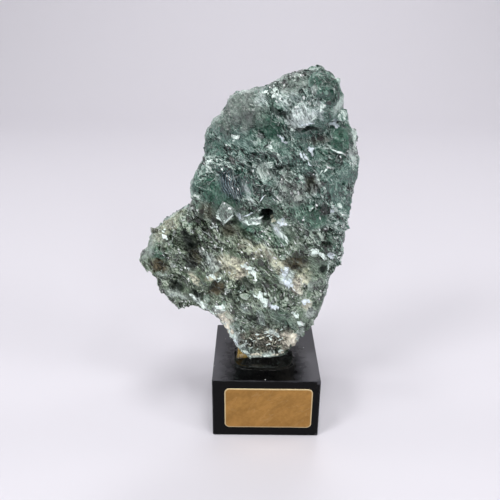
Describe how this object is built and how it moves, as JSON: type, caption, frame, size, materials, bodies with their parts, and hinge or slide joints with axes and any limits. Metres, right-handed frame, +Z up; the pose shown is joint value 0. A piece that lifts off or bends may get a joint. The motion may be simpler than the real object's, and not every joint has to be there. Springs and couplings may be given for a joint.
{
  "type": "mica crystal",
  "caption": "Rough plate of green chrome mica schist, glued upright on a square black display block with a blank gold label.",
  "frame": {"origin": "middle of the display block's underside", "axes": "+Z up along the stone's height, -Y towards the front with the label, +X to the right as seen from the front"},
  "size_m": [0.0773, 0.0406, 0.1347],
  "materials": {
    "green_mica": "satin",
    "black_paint": "satin",
    "gold_foil": "satin",
    "set_glue": "gloss"
  },
  "bodies": {
    "root": {"mica_stone": "green_mica", "display_block": "black_paint", "foil_label": "gold_foil", "glue_pad": "set_glue"}
  },
  "joints": []
}
